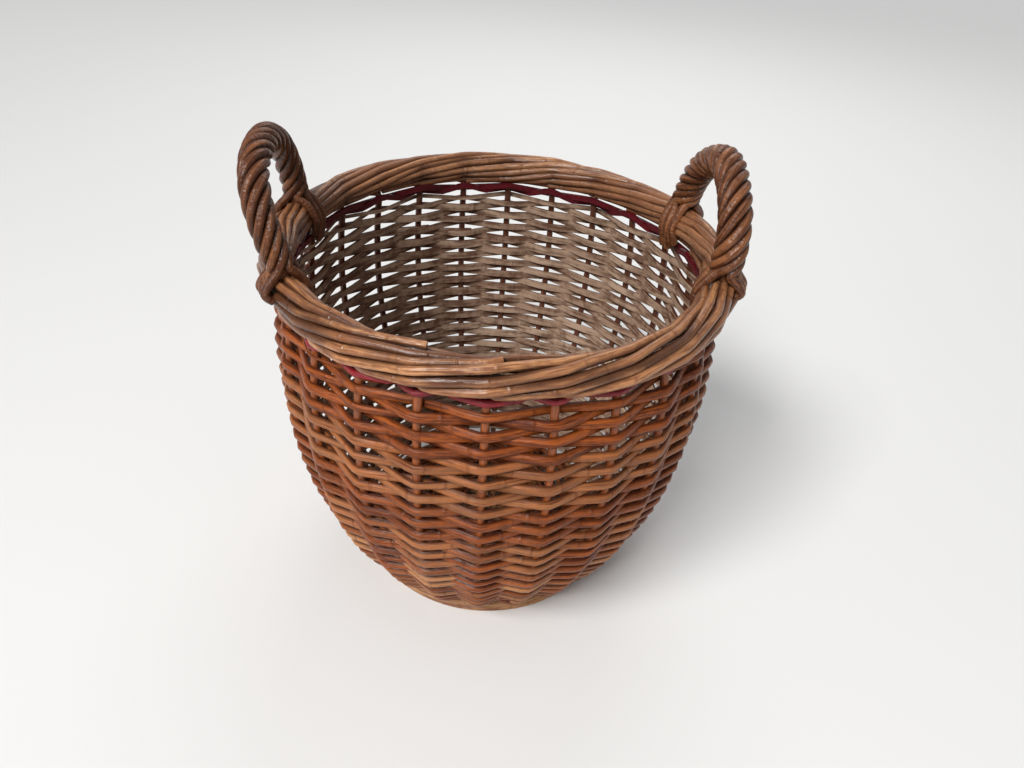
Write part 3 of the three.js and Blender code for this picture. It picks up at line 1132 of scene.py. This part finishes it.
class BASKET_OT_handle_cores(bpy.types.Operator):
    """The stout bow hidden inside each handle"""

    bl_idname = "basket.handle_cores"
    bl_label = "Handle bows"

    DIAMETER = 0.0105
    # How far its ends go down into the border
    SINK = 0.004
    STEPS = 24
    SMOOTH_STEPS = 3
    SEEDS = {"right": 0.5, "left": 0.6}

    def execute(self, context):
        sizes = context.scene.basket_sizes
        material = materials(context)["handle_willow"]
        shape = round_section(self.DIAMETER)
        for hand, seed in self.SEEDS.items():
            handle = HandleShape(sizes, hand)
            points = [handle.at(i / self.STEPS)[0] for i in range(self.STEPS + 1)]
            seat = sizes.border_top - self.SINK
            ends = [handle.foot_point(end, handle.border_radius, 0, seat) for end in (1, -1)]
            path = turned([ends[0], *points, ends[1]], hand)
            rod = sweep(smooth_path(path, self.SMOOTH_STEPS), shape, seed)
            join_rods(f"handle_{hand}_core", [rod], material, "handle_rods", f"handle_{hand}_bow")
        drop(shape)
        return {"FINISHED"}


class BASKET_OT_handle_twists(bpy.types.Operator):
    """Six rods twisted round each bow, their ends wrapped over the border"""

    bl_idname = "basket.handle_twists"
    bl_label = "Handle rods"

    RODS = 6
    # Steps of a rod's twisted part and between the points of its ends, and how many steps in the
    # ends' curves aim at
    STEPS = 96
    TAIL_STEPS = 8
    AIM_STEPS = 3
    TURNS = 3
    # How much tighter the rods are twisted at the handle's top, and their last turn at its feet
    TIGHTER = 0.2
    LAST_WRAP = math.radians(60)
    WRAP_SHARE = 0.16
    # Thickness of the rods, and what is left of it at their ends
    THICK_RANGE = (0.95, 1.05)
    END_THICK = 0.82
    # How far a rod's end sinks into the border and drifts along it, and how many such drifts off
    # each of its points is
    BITE = 0.0012
    SLANT = 0.002
    SLANTS = (1, 1.5, 2, 2)
    # Ends outside the border, as shares of the reach from its middle: out and up
    OUTER_TAIL = ((0.95, 0.3), (0.65, -0.05))
    # Ends inside the border, as shares of the reach: how far in each point is, and the drop of
    # the shorter and the longer ends
    INNER_TAIL = (1, 0.9, 0.75)
    SHORT_DROP = 0.9
    LONG_DROP = 1.35
    DICE = 900
    DICE_STEP = 10

    def execute(self, context):
        sizes = context.scene.basket_sizes
        material = materials(context)["handle_willow"]
        for number, hand in enumerate(("right", "left")):
            handle = HandleShape(sizes, hand)
            shape = round_section(sizes.strand_diameter * handle.thick)
            distance_at = self.from_bow(turned(handle.places, hand))
            for index in range(self.RODS):
                dice = random.Random(self.DICE + self.DICE_STEP * number + index)
                path = turned(self.path(handle, sizes, index), hand)
                rod = sweep(path, shape, dice.random(), self.radii(len(path), dice))
                paint_crevice_dirt_and_shade(rod, distance_at, handle.thick * sizes.rope_diameter / 2)
                name = f"handle_{hand}_rod_{index + 1}"
                join_rods(name, [rod], material, "handle_rods", f"handle_{hand}_strand_{index + 1}")
            drop(shape)
        return {"FINISHED"}

    def from_bow(self, places):
        """Gives the distance of a place from the handle's centre line"""
        tree = KDTree(len(places))
        for index, place in enumerate(places):
            tree.insert(place, index)
        tree.balance()

        def distance_at(place):
            return tree.find(place)[2]

        return distance_at

    def radii(self, count, dice):
        most = dice.uniform(*self.THICK_RANGE)
        radii = []
        for i in range(count):
            share = i / (count - 1)
            fullness = math.sin(math.pi * share) ** 0.5
            radii.append(most * (self.END_THICK + (1 - self.END_THICK) * fullness))
        return radii

    def wound(self, share):
        """How far round the bow a rod is, in radians"""
        steady = 2 * math.pi * self.TURNS - 2 * self.LAST_WRAP
        angle = steady * (share - self.TIGHTER * math.sin(2 * math.pi * share) / (2 * math.pi))
        start = min(1, share / self.WRAP_SHARE)
        end = max(0, 1 - (1 - share) / self.WRAP_SHARE)
        return angle + self.LAST_WRAP * (start * (2 - start) + end * end)

    def ring(self, handle, sizes):
        """Distance of the rods' middles from the bow's"""
        return handle.thick * (sizes.rope_diameter - sizes.strand_diameter) / 2

    def path(self, handle, sizes, index):
        ring = self.ring(handle, sizes)
        first = index * 2 * math.pi / self.RODS
        points = []
        for step in range(self.STEPS + 1):
            share = step / self.STEPS
            point, way = handle.at(share)
            outward = (Vector((1, 0, 0)) - way * way.x).normalized()
            across = way.cross(outward)
            angle = handle.azimuth + first + self.wound(share)
            points.append(point + outward * ring * math.cos(angle) + across * ring * math.sin(angle))
        steps = self.TAIL_STEPS
        tail = self.tail(handle, sizes, 1, first)
        start = smooth_path([*reversed(tail), points[0], points[self.AIM_STEPS]], steps)[:-steps]
        tail = self.tail(handle, sizes, -1, first + self.wound(1))
        end = smooth_path([points[-1 - self.AIM_STEPS], points[-1], *tail], steps)[steps:]
        return [*start[:-1], *points, *end[1:]]

    def tail(self, handle, sizes, end, angle):
        """The end of a rod: over the border and down its outer or inner face"""
        shift = self.ring(handle, sizes) * math.sin(angle)
        way = 1 if math.cos(angle) > 0 else -1
        reach = sizes.border_thickness / 2 + sizes.strand_diameter / 2 - self.BITE
        diagonal = reach * math.sqrt(0.5)
        radius, height = handle.border_radius, handle.border_height
        slant = end * way * self.SLANT
        places = [(radius + way * diagonal, height + diagonal)]
        if way > 0:
            places += [(radius + reach * out, height + reach * up) for out, up in self.OUTER_TAIL]
        else:
            drop_at = height - reach * (self.SHORT_DROP if shift < 0 else self.LONG_DROP)
            heights = (height, (height + drop_at) / 2, drop_at)
            places += [(radius - reach * share, at) for share, at in zip(self.INNER_TAIL, heights)]
        tail = []
        for (away, at), slants in zip(places, self.SLANTS):
            tail.append(handle.foot_point(end, away, shift + slants * slant, at))
        return tail


class BASKET_OT_stage(bpy.types.Operator):
    """Pale floor, soft lamps and the camera"""

    bl_idname = "basket.stage"
    bl_label = "Stage"

    FLOOR_WIDTH = 14
    FLOOR_ROUGHNESS = 0.6
    FLOOR_DARKER = 0.97
    FLOOR_DETAIL = 3.0
    # Kind, place, size or angle, and strength of each lamp
    LAMPS = {
        "key_lamp": ("SUN", (-1.05, -0.75, 1.65), math.radians(18), 2.0),
        "window_lamp": ("AREA", (-0.7, -1.3, 1.6), 0.4, 18),
        "back_lamp": ("AREA", (0.5, 1.6, 1.7), 1.4, 12),
    }
    LAMP_TARGET = (0, 0, 0.15)
    ROOM_COLOUR = (0.93, 0.96, 1, 1)
    ROOM_STRENGTH = 0.34

    def execute(self, context):
        self.floor(context)
        for name, settings in self.LAMPS.items():
            self.lamp(context, name, *settings)
        room = bpy.data.worlds.new("soft_room")
        context.scene.world = room
        room.use_nodes = True
        background = room.node_tree.nodes["Background"]
        background.inputs["Color"].default_value = self.ROOM_COLOUR
        background.inputs["Strength"].default_value = self.ROOM_STRENGTH
        self.camera(context)
        context.scene.view_settings.view_transform = "Standard"
        return {"FINISHED"}

    def floor(self, context):
        bpy.ops.object.select_all(action="DESELECT")
        bpy.ops.mesh.primitive_plane_add(size=self.FLOOR_WIDTH)
        floor = context.object
        floor.name = "floor"
        paint = Paint("pale_floor")
        cloud = paint.noise(paint.coordinate("Object"), self.FLOOR_DETAIL)
        pale = context.scene.basket_colours.floor
        darker = [value * self.FLOOR_DARKER for value in pale]
        paint.set(Base_Color=paint.mix(cloud, darker, pale), Roughness=self.FLOOR_ROUGHNESS)
        floor.data.materials.append(paint.material)

    def lamp(self, context, name, kind, place, size, strength):
        lamp = bpy.data.objects.new(name, bpy.data.lights.new(name, kind))
        context.collection.objects.link(lamp)
        if kind == "SUN":
            lamp.data.angle = size
        else:
            lamp.data.size = size
        lamp.data.energy = strength
        lamp.location = place
        way = Vector(self.LAMP_TARGET) - Vector(place)
        lamp.rotation_euler = way.to_track_quat("-Z", "Y").to_euler()

    def camera(self, context):
        camera = bpy.data.objects.new("camera", bpy.data.cameras.new("camera"))
        context.collection.objects.link(camera)
        turn = Matrix.Rotation(CAMERA_HEADING, 4, "Z")
        tip = Matrix.Rotation(math.pi / 2 - CAMERA_PITCH, 4, "X")
        roll = Matrix.Rotation(CAMERA_ROLL, 4, "Z")
        camera.matrix_world = Matrix.Translation(CAMERA_PLACE) @ turn @ tip @ roll
        camera.data.sensor_width = SENSOR_MM
        camera.data.lens = CAMERA_FOCAL_PIXELS * SENSOR_MM / IMAGE_WIDTH_PIXELS
        context.scene.camera = camera


OPERATORS = (
    BASKET_OT_base_sticks,
    BASKET_OT_base_weave,
    BASKET_OT_edge_weave,
    BASKET_OT_foot_border,
    BASKET_OT_stakes,
    BASKET_OT_side_weave,
    BASKET_OT_red_band,
    BASKET_OT_handle_cores,
    BASKET_OT_handle_twists,
    BASKET_OT_stage,
)


class BASKET_PT_panel(bpy.types.Panel):
    """Lists the basket's sizes, colours and pieces"""

    bl_idname = "BASKET_PT_panel"
    bl_label = "Willow basket"
    bl_space_type = "VIEW_3D"
    bl_region_type = "UI"
    bl_category = "Basket"

    def draw(self, context):
        for group in (context.scene.basket_sizes, context.scene.basket_colours):
            for name in group.__annotations__:
                self.layout.prop(group, name)
        for operator in OPERATORS:
            self.layout.operator(operator.bl_idname)


CLASSES = (BasketSizes, BasketColours, *OPERATORS, BASKET_PT_panel)


def register():
    for one in CLASSES:
        bpy.utils.register_class(one)
    bpy.types.Scene.basket_sizes = bpy.props.PointerProperty(type=BasketSizes)
    bpy.types.Scene.basket_colours = bpy.props.PointerProperty(type=BasketColours)


def unregister():
    del bpy.types.Scene.basket_sizes
    del bpy.types.Scene.basket_colours
    for one in reversed(CLASSES):
        bpy.utils.unregister_class(one)


def main():
    register()
    for operator in OPERATORS:
        group, name = operator.bl_idname.split(".")
        getattr(getattr(bpy.ops, group), name)()


if __name__ == "__main__":
    main()
